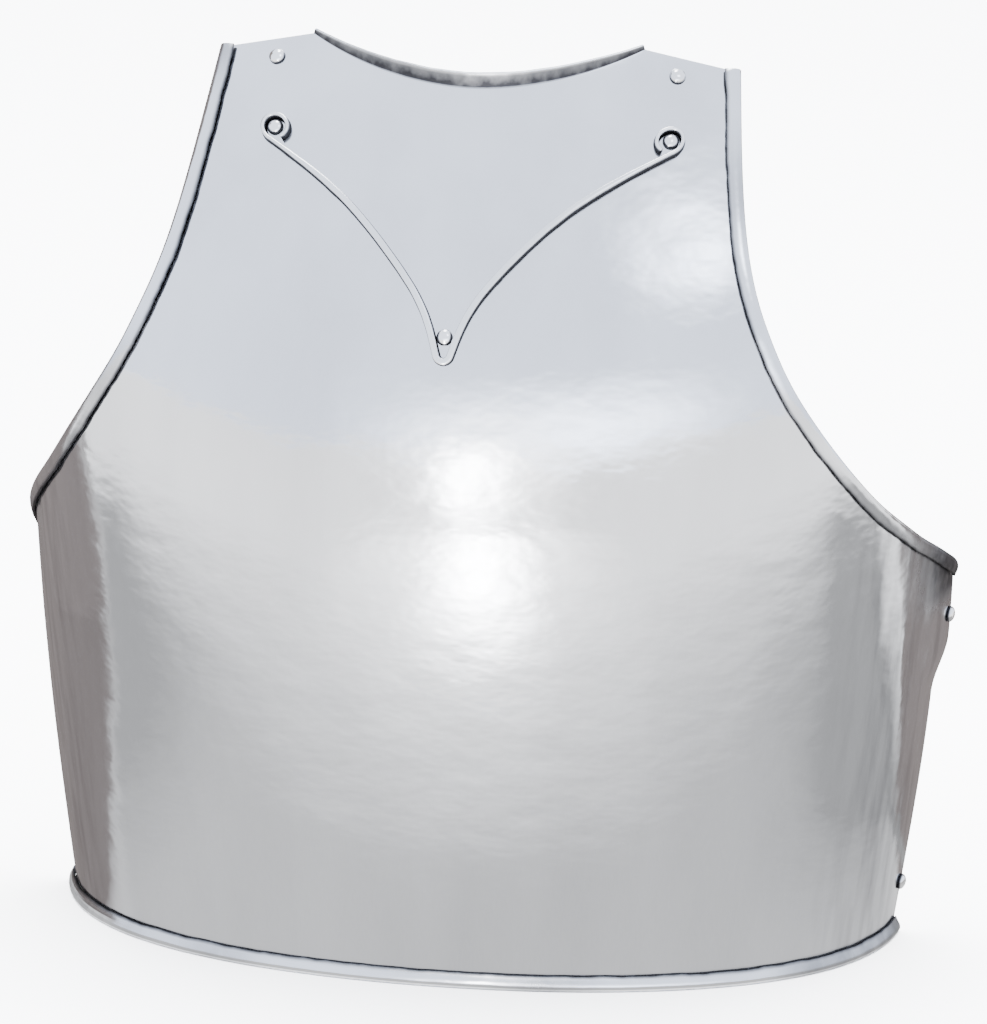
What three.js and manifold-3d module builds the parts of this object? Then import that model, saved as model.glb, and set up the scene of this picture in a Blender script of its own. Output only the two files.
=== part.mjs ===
// A steel breastplate: one raised sheet with turned edges, a V-shaped stop rib and seven rivets.
// Millimetres. +Z is up, -Y is the front, +X is the wearer's left. The plate stands on its waist rim,
// and the origin is on the floor under the middle of its bounding box.

import * as THREE from 'three';
import * as BufferGeometryUtils from 'three/addons/utils/BufferGeometryUtils.js';
import Module from 'manifold-3d';

const wasm = await Module();
wasm.setup();

// ---- the sheet ----

const SHEET = 1.2;
const GAP = 0.3;

// Level sections of the sheet's middle surface, from the waist to the neck. half_width is the
// half-width that the section would reach at its side, front is where it crosses the centre line,
// depth is how far behind the front its side lies, and squareness fills out its front corners.
const SECTIONS = [
  { z: 0, half_width: 176.5, front: -29.7, depth: 104, squareness: 0.03 },
  { z: 100, half_width: 189, front: -51.7, depth: 133, squareness: 0.033 },
  { z: 200, half_width: 193, front: -74.7, depth: 144, squareness: 0.035 },
  { z: 300, half_width: 188, front: -58.7, depth: 108, squareness: 0.038 },
  { z: 400, half_width: 168.5, front: 23.3, depth: 124, squareness: 0.04 },
];

// The rear edge runs up the flank. turn is how far round the section it lies: 1 is square to the front.
const REAR_EDGE = [
  { z: 0, turn: 0.95 },
  { z: 164, turn: 0.99 },
];

// The armhole, from the underarm corner to the shoulder, by how far round the section it lies.
const ARMHOLE = [
  { z: 164, turn: 0.985 },
  { z: 172, turn: 0.925 },
  { z: 181, turn: 0.862 },
  { z: 190, turn: 0.798 },
  { z: 199, turn: 0.742 },
  { z: 213, turn: 0.666 },
  { z: 226, turn: 0.611 },
  { z: 240, turn: 0.561 },
  { z: 257, turn: 0.508 },
  { z: 275, turn: 0.461 },
  { z: 291, turn: 0.43 },
  { z: 306, turn: 0.407 },
  { z: 325, turn: 0.389 },
  { z: 350, turn: 0.379 },
  { z: 386.5, turn: 0.375 },
];
const UNDERARM_ROUND = 6;

// The rear of each flank is pulled outward below the underarm, one far more than the other: how far,
// over which heights the pull grows, and from where round the section.
const CORNER_FLARE = { left: 5, right: 0.5, from_z: 106, full_z: 132, from_turn: 0.8 };

// Moves the finished part sideways, so that the uneven flares leave it centred on its bounding box.
const CENTRING = -2.2;

// The neck opening: its middle, its two corners, and how sharply it curves up to them.
const NECK = { middle_z: 380.5, corner_z: 395, half_width: 69, power: 1.85 };

// Turned edges, as steps away from the fold: inward is along the sheet, outward is off its front.
const ARMHOLE_HEM = [
  { inward: -0.9, outward: 0.35 },
  { inward: -1.3, outward: 1.25 },
  { inward: -0.9, outward: 2.15 },
  { inward: 0.1, outward: 2.5 },
  { inward: 2.6, outward: 2.35 },
  { inward: 4.6, outward: 1.8 },
];
const WAIST_FOLD_Z = 2.38;
const WAIST_HEM = [
  { inward: -1.2, outward: 0.3 },
  { inward: -1.8, outward: 1.1 },
  { inward: -1.8, outward: 2.5 },
  { inward: -1.2, outward: 3.3 },
  { inward: -0.2, outward: 3.5 },
  { inward: 2.0, outward: 2.6 },
  { inward: 4.2, outward: 1.6 },
];
const NECK_LIP = [
  { inward: -0.9, outward: 0.2 },
  { inward: -1.8, outward: 1.0 },
  { inward: -3.6, outward: 3.2 },
  { inward: -5.2, outward: 5.3 },
];
// The lip is widest at the middle of the neck and narrows towards its corners.
const LIP_NARROWING = { share: 0.66, power: 2.4 };

// The grid that covers the sheet: columns from the centre line to one side, rows up the rear edge and
// up the armhole.
const NECK_COLUMNS = 8;
const SHOULDER_COLUMNS = 9;
const REAR_ROWS = 9;
const ARMHOLE_ROWS = 18;
const TOP_FIT_POWER = 4;

// ---- the stop rib and the rivets ----

// The rib thins from its width to its scroll_width over the last thinning share of each half.
const RIB = { width: 2.6, scroll_width: 1.5, height: 3.4, edge_round: 0.5, thinning: 0.2 };
const RIB_STATIONS = 34;

// Each arm ends in a ring that settles from its entry radius to its radius. The sheet leans back there,
// so a ring's height is lean times its width.
const SCROLL = { radius: 5.2, entry_radius: 6.2, entry_angle: -80, end_angle: 238, lean: 0.74 };
const SCROLL_SETTLES = { share: 1 / 3, power: 2 };
const SCROLL_STATIONS = 18;
const SCROLL_LEFT = { x: 82.9, z: 363.6 };
const SCROLL_RIGHT = { x: -79.2, z: 362 };

// The round bottom of the V.
const CROTCH = { z: 288, radius: 3, leave_angle: -21 };
const CROTCH_STATIONS = 5;

// The wearer's left arm of the rib between its crotch and its scroll. The other arm mirrors it.
const RIB_ARM = [
  { x: 8.2, z: 301 },
  { x: 25, z: 322 },
  { x: 45, z: 339 },
  { x: 65, z: 350.5 },
];

// A domed head on the front, a shank through the sheet and a low peened end behind it.
const RIVET = {
  head_radius: 3.4,
  head_height: 2.6,
  head_edge: 0.35,
  head_undercut: 0.25,
  shank_radius: 1.7,
  inner_radius: 2.7,
  inner_height: 0.8,
  inner_bevel: 0.4,
};
const RIVET_SIDES = 10;
const DOME_STEPS = 2;
const DRILL_LENGTH = 6;

// Rivets by their distance from the centre line, or by how far round the section they lie.
const RIVETS = [
  { name: 'rib_rivet', x: 0, z: 294.1 },
  { name: 'scroll_rivet_left', x: 83.5, z: 363.9 },
  { name: 'scroll_rivet_right', x: -79.8, z: 362.3 },
  { name: 'shoulder_rivet_left', x: 83.2, z: 385.7 },
  { name: 'shoulder_rivet_right', x: -83.2, z: 385.7 },
  { name: 'flank_rivet_upper', turn: 0.965, z: 142.3 },
  { name: 'flank_rivet_lower', turn: 0.935, z: 23.3 },
];

// ---- finishes ----

const POLISHED_STEEL = new THREE.MeshStandardMaterial({ color: 0xc9ccd1, roughness: 0.22, metalness: 1 });
const RIB_STEEL = new THREE.MeshStandardMaterial({ color: 0xbfc2c6, roughness: 0.3, metalness: 1 });
const RIVET_STEEL = new THREE.MeshStandardMaterial({ color: 0xd6d7d8, roughness: 0.18, metalness: 1 });

// ---- curves and the surface ----

// A smooth curve through the points (xs, ys), straight at its ends: a natural cubic spline.
function smoothCurve(xs, ys) {
  const last = xs.length - 1;
  const bend = new Array(xs.length).fill(0);
  const carry = new Array(xs.length).fill(0);
  for (let i = 1; i < last; i++) {
    const before = xs[i] - xs[i - 1];
    const after = xs[i + 1] - xs[i];
    const pivot = 2 * (before + after) - before * carry[i - 1];
    const slopeChange = (ys[i + 1] - ys[i]) / after - (ys[i] - ys[i - 1]) / before;
    carry[i] = after / pivot;
    bend[i] = (6 * slopeChange - before * bend[i - 1]) / pivot;
  }
  for (let i = last - 1; i > 0; i--) {
    bend[i] -= carry[i] * bend[i + 1];
  }
  return (x) => {
    let i = 0;
    while (i < last - 1 && x > xs[i + 1]) {
      i++;
    }
    const span = xs[i + 1] - xs[i];
    const b = (x - xs[i]) / span;
    const a = 1 - b;
    const cubic = (a ** 3 - a) * bend[i] + (b ** 3 - b) * bend[i + 1];
    return a * ys[i] + b * ys[i + 1] + (cubic * span * span) / 6;
  };
}

function column(table, key, value) {
  return smoothCurve(table.map((row) => row[key]), table.map((row) => row[value]));
}

const halfWidthAt = column(SECTIONS, 'z', 'half_width');
const frontAt = column(SECTIONS, 'z', 'front');
const depthAt = column(SECTIONS, 'z', 'depth');
const squarenessAt = column(SECTIONS, 'z', 'squareness');
const rearTurnAt = column(REAR_EDGE, 'z', 'turn');
const armholeTurnAt = column(ARMHOLE, 'z', 'turn');

const UNDERARM_Z = ARMHOLE[0].z;
const SHOULDER = ARMHOLE[ARMHOLE.length - 1];
const NUDGE = 0.001;
const BISECTIONS = 40;
const WELD = 1e-4;

// How far the underarm corner is pulled outward at a place on the sheet.
function flareAt(turn, z) {
  const up = THREE.MathUtils.smoothstep(z, CORNER_FLARE.from_z, CORNER_FLARE.full_z);
  const round = THREE.MathUtils.smoothstep(Math.abs(turn), CORNER_FLARE.from_turn, 1);
  return (turn > 0 ? CORNER_FLARE.left : -CORNER_FLARE.right) * up * round;
}

// A point of the middle surface: turn goes round the section from -1 to 1 with 0 at the front.
function onSheet(turn, z) {
  const angle = (turn * Math.PI) / 2;
  const square = squarenessAt(z);
  const across = (Math.sin(angle) + square * Math.sin(3 * angle)) / (1 - square);
  const back = frontAt(z) + depthAt(z) * (1 - Math.cos(angle));
  return new THREE.Vector3(halfWidthAt(z) * across + flareAt(turn, z), back, z);
}

function normalAt(turn, z) {
  const sideways = onSheet(turn + NUDGE, z).sub(onSheet(turn - NUDGE, z));
  const upwards = onSheet(turn, z + NUDGE).sub(onSheet(turn, z - NUDGE));
  return sideways.cross(upwards).normalize();
}

// The turn at which the section at height z is x from the centre line.
function turnAtX(x, z) {
  let low = 0;
  let high = 1;
  for (let step = 0; step < BISECTIONS; step++) {
    const middle = (low + high) / 2;
    if (Math.abs(onSheet(Math.sign(x) * middle, z).x) < Math.abs(x)) {
      low = middle;
    } else {
      high = middle;
    }
  }
  return Math.sign(x) * low;
}

// ---- the sheet's outline ----

function armholePoint(z) {
  return { turn: armholeTurnAt(z), z };
}

// One side of the outline by rows: up the rear edge, round the underarm corner, up to the shoulder.
function sideOutline() {
  const rows = [];
  const cornerStart = { turn: rearTurnAt(UNDERARM_Z - UNDERARM_ROUND), z: UNDERARM_Z - UNDERARM_ROUND };
  const corner = { turn: rearTurnAt(UNDERARM_Z), z: UNDERARM_Z };
  const cornerEnd = armholePoint(UNDERARM_Z + UNDERARM_ROUND);
  for (let j = 0; j <= REAR_ROWS; j++) {
    const z = WAIST_FOLD_Z + ((cornerStart.z - WAIST_FOLD_Z) * j) / REAR_ROWS;
    rows.push({ turn: rearTurnAt(z), z });
  }
  const middle = {
    turn: (cornerStart.turn + 2 * corner.turn + cornerEnd.turn) / 4,
    z: (cornerStart.z + 2 * corner.z + cornerEnd.z) / 4,
  };
  rows.push(middle);
  for (let j = 0; j <= ARMHOLE_ROWS; j++) {
    rows.push(armholePoint(cornerEnd.z + ((SHOULDER.z - cornerEnd.z) * j) / ARMHOLE_ROWS));
  }
  return rows;
}

const outline = sideOutline();
const LAST_ROW = outline.length - 1;
const HEM_START_ROW = REAR_ROWS + 1;
const NECK_SHARE = turnAtX(NECK.half_width, NECK.corner_z) / outline[LAST_ROW].turn;

// Column shares from the centre line, 0, to the outline, 1, with one column on the neck corner.
function columnShares() {
  const shares = [];
  for (let i = 0; i <= NECK_COLUMNS; i++) {
    shares.push((NECK_SHARE * i) / NECK_COLUMNS);
  }
  for (let i = 1; i <= SHOULDER_COLUMNS; i++) {
    shares.push(NECK_SHARE + ((1 - NECK_SHARE) * i) / SHOULDER_COLUMNS);
  }
  return shares;
}

const shares = columnShares();
const SIDE_COLUMNS = NECK_COLUMNS + SHOULDER_COLUMNS;

// The height of the top edge over a column: the neck curve, then the straight shoulder.
function topZ(share) {
  if (share <= NECK_SHARE) {
    const x = share / NECK_SHARE;
    return NECK.middle_z + (NECK.corner_z - NECK.middle_z) * x ** NECK.power;
  }
  const along = (share - NECK_SHARE) / (1 - NECK_SHARE);
  return NECK.corner_z + (SHOULDER.z - NECK.corner_z) * along;
}

// The share of the outline's length that each row has passed.
function outlineRises() {
  const lengths = [0];
  for (let j = 1; j <= LAST_ROW; j++) {
    const here = onSheet(outline[j].turn, outline[j].z);
    const below = onSheet(outline[j - 1].turn, outline[j - 1].z);
    lengths.push(lengths[j - 1] + here.distanceTo(below));
  }
  return lengths.map((length) => length / lengths[LAST_ROW]);
}

const rises = outlineRises();

function gridPlace(i, j) {
  const share = shares[Math.abs(i)];
  const rise = rises[j];
  const centreZ = WAIST_FOLD_Z + (NECK.middle_z - WAIST_FOLD_Z) * rise;
  const dome = centreZ + (outline[j].z - centreZ) * share ** 2;
  const domeTop = NECK.middle_z + (SHOULDER.z - NECK.middle_z) * share ** 2;
  const z = dome + (topZ(share) - domeTop) * rise ** TOP_FIT_POWER;
  return { turn: Math.sign(i) * share * outline[j].turn, z };
}

// ---- building the sheet ----

// A sheet as points with normals and four-cornered faces. Thickening it closes it along every free edge.
class Sheet {
  constructor() {
    this.points = [];
    this.normals = [];
    this.faces = [];
  }

  add(point, normal) {
    this.points.push(point);
    this.normals.push(normal);
    return this.points.length - 1;
  }

  // Carries a turned edge along a row of edge points. inwards points into the sheet from the edge.
  turnEdge(edge, profile, flip) {
    let previous = edge.map((e) => e.index);
    for (let k = 0; k < profile.length; k++) {
      const before = k === 0 ? { inward: 0, outward: 0 } : profile[k - 1];
      const after = k === profile.length - 1 ? profile[k] : profile[k + 1];
      const run = new THREE.Vector2(after.inward - before.inward, after.outward - before.outward);
      run.normalize();
      const current = edge.map((e) => {
        const point = e.point.clone();
        point.addScaledVector(e.inwards, profile[k].inward * e.width);
        point.addScaledVector(e.outwards, profile[k].outward * e.width);
        const normal = e.outwards.clone().multiplyScalar(-run.x).addScaledVector(e.inwards, run.y);
        return this.add(point, normal.normalize());
      });
      for (let m = 0; m + 1 < edge.length; m++) {
        const face = [previous[m], previous[m + 1], current[m + 1], current[m]];
        this.faces.push(flip ? face.reverse() : face);
      }
      previous = current;
    }
  }

  thicken(thickness) {
    const count = this.points.length;
    const positions = [];
    for (const side of [0.5, -0.5]) {
      for (let n = 0; n < count; n++) {
        const p = this.points[n].clone().addScaledVector(this.normals[n], side * thickness);
        positions.push(p.x, p.y, p.z);
      }
    }
    const indices = [];
    const sides = new Set();
    const quad = (a, b, c, d) => indices.push(a, b, c, a, c, d);
    for (const [a, b, c, d] of this.faces) {
      quad(a, b, c, d);
      quad(d + count, c + count, b + count, a + count);
      for (const [from, to] of [[a, b], [b, c], [c, d], [d, a]]) {
        sides.add(`${from},${to}`);
      }
    }
    for (const side of sides) {
      const [from, to] = side.split(',').map(Number);
      if (!sides.has(`${to},${from}`)) {
        quad(to, from, from + count, to + count);
      }
    }
    const geometry = new THREE.BufferGeometry();
    geometry.setAttribute('position', new THREE.Float32BufferAttribute(positions, 3));
    geometry.setIndex(indices);
    return geometry;
  }
}

// Frames along an edge: each has its point, its index, and the two directions a turned edge uses.
function edgeFrames(sheet, indices, inner) {
  return indices.map((index, n) => {
    const ahead = sheet.points[indices[Math.min(n + 1, indices.length - 1)]];
    const behind = sheet.points[indices[Math.max(n - 1, 0)]];
    const along = ahead.clone().sub(behind).normalize();
    const outwards = sheet.normals[index];
    const inwards = outwards.clone().cross(along).normalize();
    if (inwards.dot(inner(n).clone().sub(sheet.points[index])) < 0) {
      inwards.negate();
    }
    return { index, point: sheet.points[index], inwards, outwards, width: 1 };
  });
}

function makeSheet() {
  const sheet = new Sheet();
  const index = [];
  for (let j = 0; j <= LAST_ROW; j++) {
    index.push([]);
    for (let i = -SIDE_COLUMNS; i <= SIDE_COLUMNS; i++) {
      const { turn, z } = gridPlace(i, j);
      const normal = normalAt(turn, z);
      if (j === 0) {
        normal.setZ(0).normalize();
      }
      index[j].push(sheet.add(onSheet(turn, z), normal));
    }
  }
  for (let j = 0; j < LAST_ROW; j++) {
    for (let i = 0; i < 2 * SIDE_COLUMNS; i++) {
      sheet.faces.push([index[j][i], index[j][i + 1], index[j + 1][i + 1], index[j + 1][i]]);
    }
  }
  turnWaist(sheet, index);
  turnNeck(sheet, index);
  turnArmhole(sheet, index, 0, 1, false);
  turnArmhole(sheet, index, 2 * SIDE_COLUMNS, -1, true);
  return sheet;
}

function turnWaist(sheet, index) {
  const frames = edgeFrames(sheet, index[0], (n) => sheet.points[index[1][n]]);
  for (const frame of frames) {
    frame.inwards.set(0, 0, 1);
  }
  sheet.turnEdge(frames, WAIST_HEM, true);
}

function turnNeck(sheet, index) {
  const first = SIDE_COLUMNS - NECK_COLUMNS;
  const top = index[LAST_ROW].slice(first, first + 2 * NECK_COLUMNS + 1);
  const frames = edgeFrames(sheet, top, (n) => sheet.points[index[LAST_ROW - 1][first + n]]);
  frames.forEach((frame, n) => {
    const share = Math.abs(n - NECK_COLUMNS) / NECK_COLUMNS;
    frame.width = 1 - LIP_NARROWING.share * share ** LIP_NARROWING.power;
  });
  sheet.turnEdge(frames, NECK_LIP, false);
}

function turnArmhole(sheet, index, edgeColumn, towards, flip) {
  const rows = index.slice(HEM_START_ROW);
  const edge = rows.map((row) => row[edgeColumn]);
  const frames = edgeFrames(sheet, edge, (n) => sheet.points[rows[n][edgeColumn + towards]]);
  sheet.turnEdge(frames, ARMHOLE_HEM, flip);
}

// ---- solids ----

function toSolid(geometry) {
  const bare = geometry.clone();
  bare.deleteAttribute('normal');
  bare.deleteAttribute('uv');
  const merged = BufferGeometryUtils.mergeVertices(bare, WELD);
  const vertProperties = new Float32Array(merged.attributes.position.array);
  const triVerts = new Uint32Array(merged.index.array);
  return new wasm.Manifold(new wasm.Mesh({ numProp: 3, vertProperties, triVerts }));
}

function toGeometry(solid) {
  const mesh = solid.getMesh();
  const geometry = new THREE.BufferGeometry();
  geometry.setAttribute('position', new THREE.Float32BufferAttribute(mesh.vertProperties, 3));
  geometry.setIndex(Array.from(mesh.triVerts));
  return geometry;
}

// Where a rivet sits: its centre on the middle surface and its axis out of the front.
function rivetPlace(rivet) {
  const turn = rivet.turn === undefined ? turnAtX(rivet.x, rivet.z) : rivet.turn;
  return { point: onSheet(turn, rivet.z), axis: normalAt(turn, rivet.z) };
}

// Turns a shape made round the Y axis so that Y runs along the rivet's axis, at the rivet's place.
function placeOnAxis(geometry, place) {
  const turn = new THREE.Quaternion().setFromUnitVectors(new THREE.Vector3(0, 1, 0), place.axis);
  return geometry.applyQuaternion(turn).translate(place.point.x, place.point.y, place.point.z);
}

function rivetGeometry() {
  const seat = SHEET / 2 + GAP;
  const domeStart = seat + RIVET.head_edge;
  const domeHeight = RIVET.head_height - RIVET.head_edge;
  const profile = [
    new THREE.Vector2(0, -seat - RIVET.inner_height),
    new THREE.Vector2(RIVET.inner_radius - RIVET.inner_bevel, -seat - RIVET.inner_height),
    new THREE.Vector2(RIVET.inner_radius, -seat),
    new THREE.Vector2(RIVET.shank_radius, -seat),
    new THREE.Vector2(RIVET.shank_radius, seat),
    new THREE.Vector2(RIVET.head_radius - RIVET.head_undercut, seat),
  ];
  for (let k = 0; k <= DOME_STEPS; k++) {
    const angle = (k * Math.PI) / 2 / (DOME_STEPS + 1);
    const height = domeStart + domeHeight * Math.sin(angle);
    profile.push(new THREE.Vector2(RIVET.head_radius * Math.cos(angle), height));
  }
  profile.push(new THREE.Vector2(0, seat + RIVET.head_height));
  return new THREE.LatheGeometry(profile, RIVET_SIDES);
}

function makeBreastplate() {
  let solid = toSolid(makeSheet().thicken(SHEET));
  const radius = RIVET.shank_radius + GAP;
  for (const rivet of RIVETS) {
    const drill = new THREE.CylinderGeometry(radius, radius, DRILL_LENGTH, RIVET_SIDES);
    solid = solid.subtract(toSolid(placeOnAxis(drill, rivetPlace(rivet))));
  }
  return toGeometry(solid);
}

// ---- the stop rib ----

// A point of a ring: radius is along the sheet, so the sheet's lean shortens its height.
function ringPoint(hub, radius, degrees) {
  const angle = THREE.MathUtils.degToRad(degrees);
  return { x: hub.x + radius * Math.cos(angle), z: hub.z + radius * SCROLL.lean * Math.sin(angle) };
}

// Half of the rib's middle line on the wearer's left, from the middle of the crotch to the scroll's end.
function ribHalf(hub) {
  const line = [];
  for (let k = 0; k <= CROTCH_STATIONS; k++) {
    const angle = THREE.MathUtils.degToRad(-90 + ((90 + CROTCH.leave_angle) * k) / CROTCH_STATIONS);
    line.push({ x: CROTCH.radius * Math.cos(angle), z: CROTCH.z + CROTCH.radius * Math.sin(angle) });
  }
  const leave = line[line.length - 1];
  const arm = [leave, ...RIB_ARM, ringPoint(hub, SCROLL.entry_radius, SCROLL.entry_angle)];
  const lengths = [0];
  for (let n = 1; n < arm.length; n++) {
    lengths.push(lengths[n - 1] + Math.hypot(arm[n].x - arm[n - 1].x, arm[n].z - arm[n - 1].z));
  }
  const armX = smoothCurve(lengths, arm.map((p) => p.x));
  const armZ = smoothCurve(lengths, arm.map((p) => p.z));
  const total = lengths[lengths.length - 1];
  for (let k = 1; k <= RIB_STATIONS; k++) {
    line.push({ x: armX((total * k) / RIB_STATIONS), z: armZ((total * k) / RIB_STATIONS) });
  }
  for (let k = 1; k <= SCROLL_STATIONS; k++) {
    const share = k / SCROLL_STATIONS;
    const unsettled = Math.max(0, 1 - share / SCROLL_SETTLES.share) ** SCROLL_SETTLES.power;
    const radius = SCROLL.radius + (SCROLL.entry_radius - SCROLL.radius) * unsettled;
    const degrees = SCROLL.entry_angle + (SCROLL.end_angle - SCROLL.entry_angle) * share;
    line.push(ringPoint(hub, radius, degrees));
  }
  return line;
}

function mirrored(p) {
  return { x: -p.x, z: p.z };
}

// The rib's cross-section: across its width, and up from the sheet's middle surface.
function ribSection(width) {
  const foot = SHEET / 2 + GAP;
  const top = SHEET / 2 + RIB.height;
  const half = width / 2;
  return [
    [-half, foot],
    [half, foot],
    [half, top - RIB.edge_round],
    [half - RIB.edge_round, top],
    [-half + RIB.edge_round, top],
    [-half, top - RIB.edge_round],
  ];
}

function makeRib() {
  const half = ribHalf(SCROLL_LEFT);
  const otherHalf = ribHalf(mirrored(SCROLL_RIGHT)).map(mirrored);
  const line = [...otherHalf.slice(1).reverse(), ...half];
  const places = line.map((p) => {
    const turn = turnAtX(p.x, p.z);
    return { point: onSheet(turn, p.z), normal: normalAt(turn, p.z) };
  });
  const positions = [];
  const indices = [];
  const sides = ribSection(RIB.width).length;
  const armShare = (half.length - SCROLL_STATIONS) / half.length;
  places.forEach((place, n) => {
    const ahead = places[Math.min(n + 1, places.length - 1)].point;
    const behind = places[Math.max(n - 1, 0)].point;
    const across = place.normal.clone().cross(ahead.clone().sub(behind)).normalize();
    const fromCrotch = Math.abs(n - (half.length - 1)) / (half.length - 1);
    const thinning = THREE.MathUtils.smoothstep(fromCrotch, armShare - RIB.thinning, armShare);
    const width = RIB.width + (RIB.scroll_width - RIB.width) * thinning;
    for (const [sideways, up] of ribSection(width)) {
      const p = place.point.clone().addScaledVector(across, sideways).addScaledVector(place.normal, up);
      positions.push(p.x, p.y, p.z);
    }
  });
  for (let n = 0; n + 1 < places.length; n++) {
    for (let k = 0; k < sides; k++) {
      const next = (k + 1) % sides;
      const here = n * sides;
      const ahead = here + sides;
      indices.push(here + k, here + next, ahead + k);
      indices.push(here + next, ahead + next, ahead + k);
    }
  }
  const end = (places.length - 1) * sides;
  for (let k = 1; k + 1 < sides; k++) {
    indices.push(0, k + 1, k);
    indices.push(end, end + k, end + k + 1);
  }
  const geometry = new THREE.BufferGeometry();
  geometry.setAttribute('position', new THREE.Float32BufferAttribute(positions, 3));
  geometry.setIndex(indices);
  return geometry;
}

// ---- the assembly ----

function named(name, geometry, material) {
  geometry.translate(CENTRING, 0, 0);
  geometry.computeVertexNormals();
  const mesh = new THREE.Mesh(geometry, material);
  mesh.name = name;
  return mesh;
}

const breastplate = new THREE.Group();
breastplate.add(named('breastplate', makeBreastplate(), POLISHED_STEEL));
breastplate.add(named('stop_rib', makeRib(), RIB_STEEL));
for (const rivet of RIVETS) {
  breastplate.add(named(rivet.name, placeOnAxis(rivetGeometry(), rivetPlace(rivet)), RIVET_STEEL));
}

export default breastplate;
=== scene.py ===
"""The looks of a polished steel breastplate: its turned sheet, stop rib, rivets, light and camera.

Metres, +Z up, -Y the front, +X the wearer's left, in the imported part's own frame.
"""

import math

import bmesh
import bpy
from mathutils import Matrix, Vector, noise


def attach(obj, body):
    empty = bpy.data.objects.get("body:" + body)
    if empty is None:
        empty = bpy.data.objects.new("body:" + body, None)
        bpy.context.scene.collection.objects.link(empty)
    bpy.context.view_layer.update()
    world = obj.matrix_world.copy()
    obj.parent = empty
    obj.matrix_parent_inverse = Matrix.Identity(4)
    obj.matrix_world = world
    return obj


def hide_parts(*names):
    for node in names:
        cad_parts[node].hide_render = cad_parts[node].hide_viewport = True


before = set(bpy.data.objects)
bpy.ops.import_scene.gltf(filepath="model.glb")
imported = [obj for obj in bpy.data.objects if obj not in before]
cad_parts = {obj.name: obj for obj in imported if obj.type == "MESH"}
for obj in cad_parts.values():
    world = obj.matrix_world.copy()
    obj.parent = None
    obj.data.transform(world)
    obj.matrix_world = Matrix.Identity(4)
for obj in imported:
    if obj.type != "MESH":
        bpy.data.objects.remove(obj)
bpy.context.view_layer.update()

MM = 0.001
SCENE = bpy.context.scene

# ---- the sheet's shape, in millimetres, as the part has it ----

SHEET = 1.2
GAP = 0.3
HALVINGS = 30

# Level sections of the sheet's middle: height, half-width, front, depth and squareness.
SECTIONS = [
    (0, 176.5, -29.7, 104, 0.03),
    (100, 189, -51.7, 133, 0.033),
    (200, 193, -74.7, 144, 0.035),
    (300, 188, -58.7, 108, 0.038),
    (400, 168.5, 23.3, 124, 0.04),
]

# The rear edge: height, and how far round the section it lies.
REAR_EDGE = [(0, 0.95), (164, 0.99)]

# The armhole from underarm to shoulder: height, and how far round the section it lies.
ARMHOLE = [
    (164, 0.985), (172, 0.925), (181, 0.862), (190, 0.798), (199, 0.742),
    (213, 0.666), (226, 0.611), (240, 0.561), (257, 0.508), (275, 0.461),
    (291, 0.43), (306, 0.407), (325, 0.389), (350, 0.379), (386.5, 0.375),
]
UNDERARM_ROUND = 6

# The rear of each flank is pulled outward below the underarm, the wearer's left far more.
FLARE_LEFT = 5
FLARE_RIGHT = 0.5
FLARE_HEIGHTS = (106, 132)
FLARE_FROM_TURN = 0.8
CENTRING = -2.2

NECK_MIDDLE_Z = 380.5
NECK_CORNER_Z = 395
NECK_HALF_WIDTH = 69
NECK_POWER = 1.85

# Turned edges, as steps from the fold: inward along the sheet and outward off its front.
ARMHOLE_HEM = [(-0.9, 0.35), (-1.3, 1.25), (-0.9, 2.15), (0.1, 2.5), (2.6, 2.35), (4.6, 1.8)]
WAIST_FOLD_Z = 2.38
WAIST_HEM = [(-1.2, 0.3), (-1.8, 1.1), (-1.8, 2.5), (-1.2, 3.3), (-0.2, 3.5), (2.0, 2.6), (4.2, 1.6)]
NECK_LIP = [(-0.9, 0.2), (-1.8, 1.0), (-3.6, 3.2), (-5.2, 5.3)]
LIP_NARROWING = 0.66
LIP_NARROWING_POWER = 2.4

# The fine grid over the sheet.
NECK_COLUMNS = 44
SHOULDER_COLUMNS = 28
REAR_ROWS = 66
CORNER_ROWS = 8
ARMHOLE_ROWS = 112
TOP_FIT_POWER = 4
HEM_STEPS = 14
LIP_STEPS = 10

# ---- the rib and the rivets ----

RIB_WIDTH = 2.6
RIB_SCROLL_WIDTH = 1.5
RIB_HEIGHT = 3.4
RIB_EDGE_ROUND = 0.5
RIB_ROUND_STEPS = 3
RIB_THINNING = 0.2
RIB_STATIONS = 120
# How far each foot of the rib reaches past its side, to carry painted shade.
RIB_FOOT_SHADE = 0.4
# Painted shade by the corner of the rib's section: the feet, the tops of the shaded feet, and the upper
# ends of the walls.
RIB_SHADE = {0: 1.6, 1: 1.6, 2: 1.5, 11: 1.5, 3: 0.6, 10: 0.6}
# The rib sways a little: how far in millimetres, and in how many waves to the millimetre.
RIB_SWAY = 0.12
RIB_SWAYS = 0.12
RIB_ARM = [(8.2, 301), (25, 322), (45, 339), (65, 350.5)]
SCROLL = {"radius": 5.2, "entry_radius": 6.2, "entry": -80, "end": 238, "lean": 0.74, "settles": 1 / 3}
SCROLL_STATIONS = 60
SCROLL_LEFT = (82.9, 363.6)
SCROLL_RIGHT = (-79.2, 362)
CROTCH = {"z": 288, "radius": 3, "leave": -21}
CROTCH_STATIONS = 16

RIVET_SEAT = SHEET / 2 + 0.02
RIVET_HEAD_RADIUS = 3.4
RIVET_HEAD_HEIGHT = 2.6
RIVET_RIM = 0.3
RIVET_SHANK_RADIUS = 1.7
RIVET_INNER_RADIUS = 2.7
RIVET_INNER_HEIGHT = 0.8
# The round of the inner end's edge starts on its face and turns a corner, both given from its side.
RIVET_INNER_ROUND = 0.5
RIVET_INNER_CORNER = (0.1, 0.3)
RIVET_SIDES = 40
DOME_STEPS = 12
DOME_FULLNESS = 0.9
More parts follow.
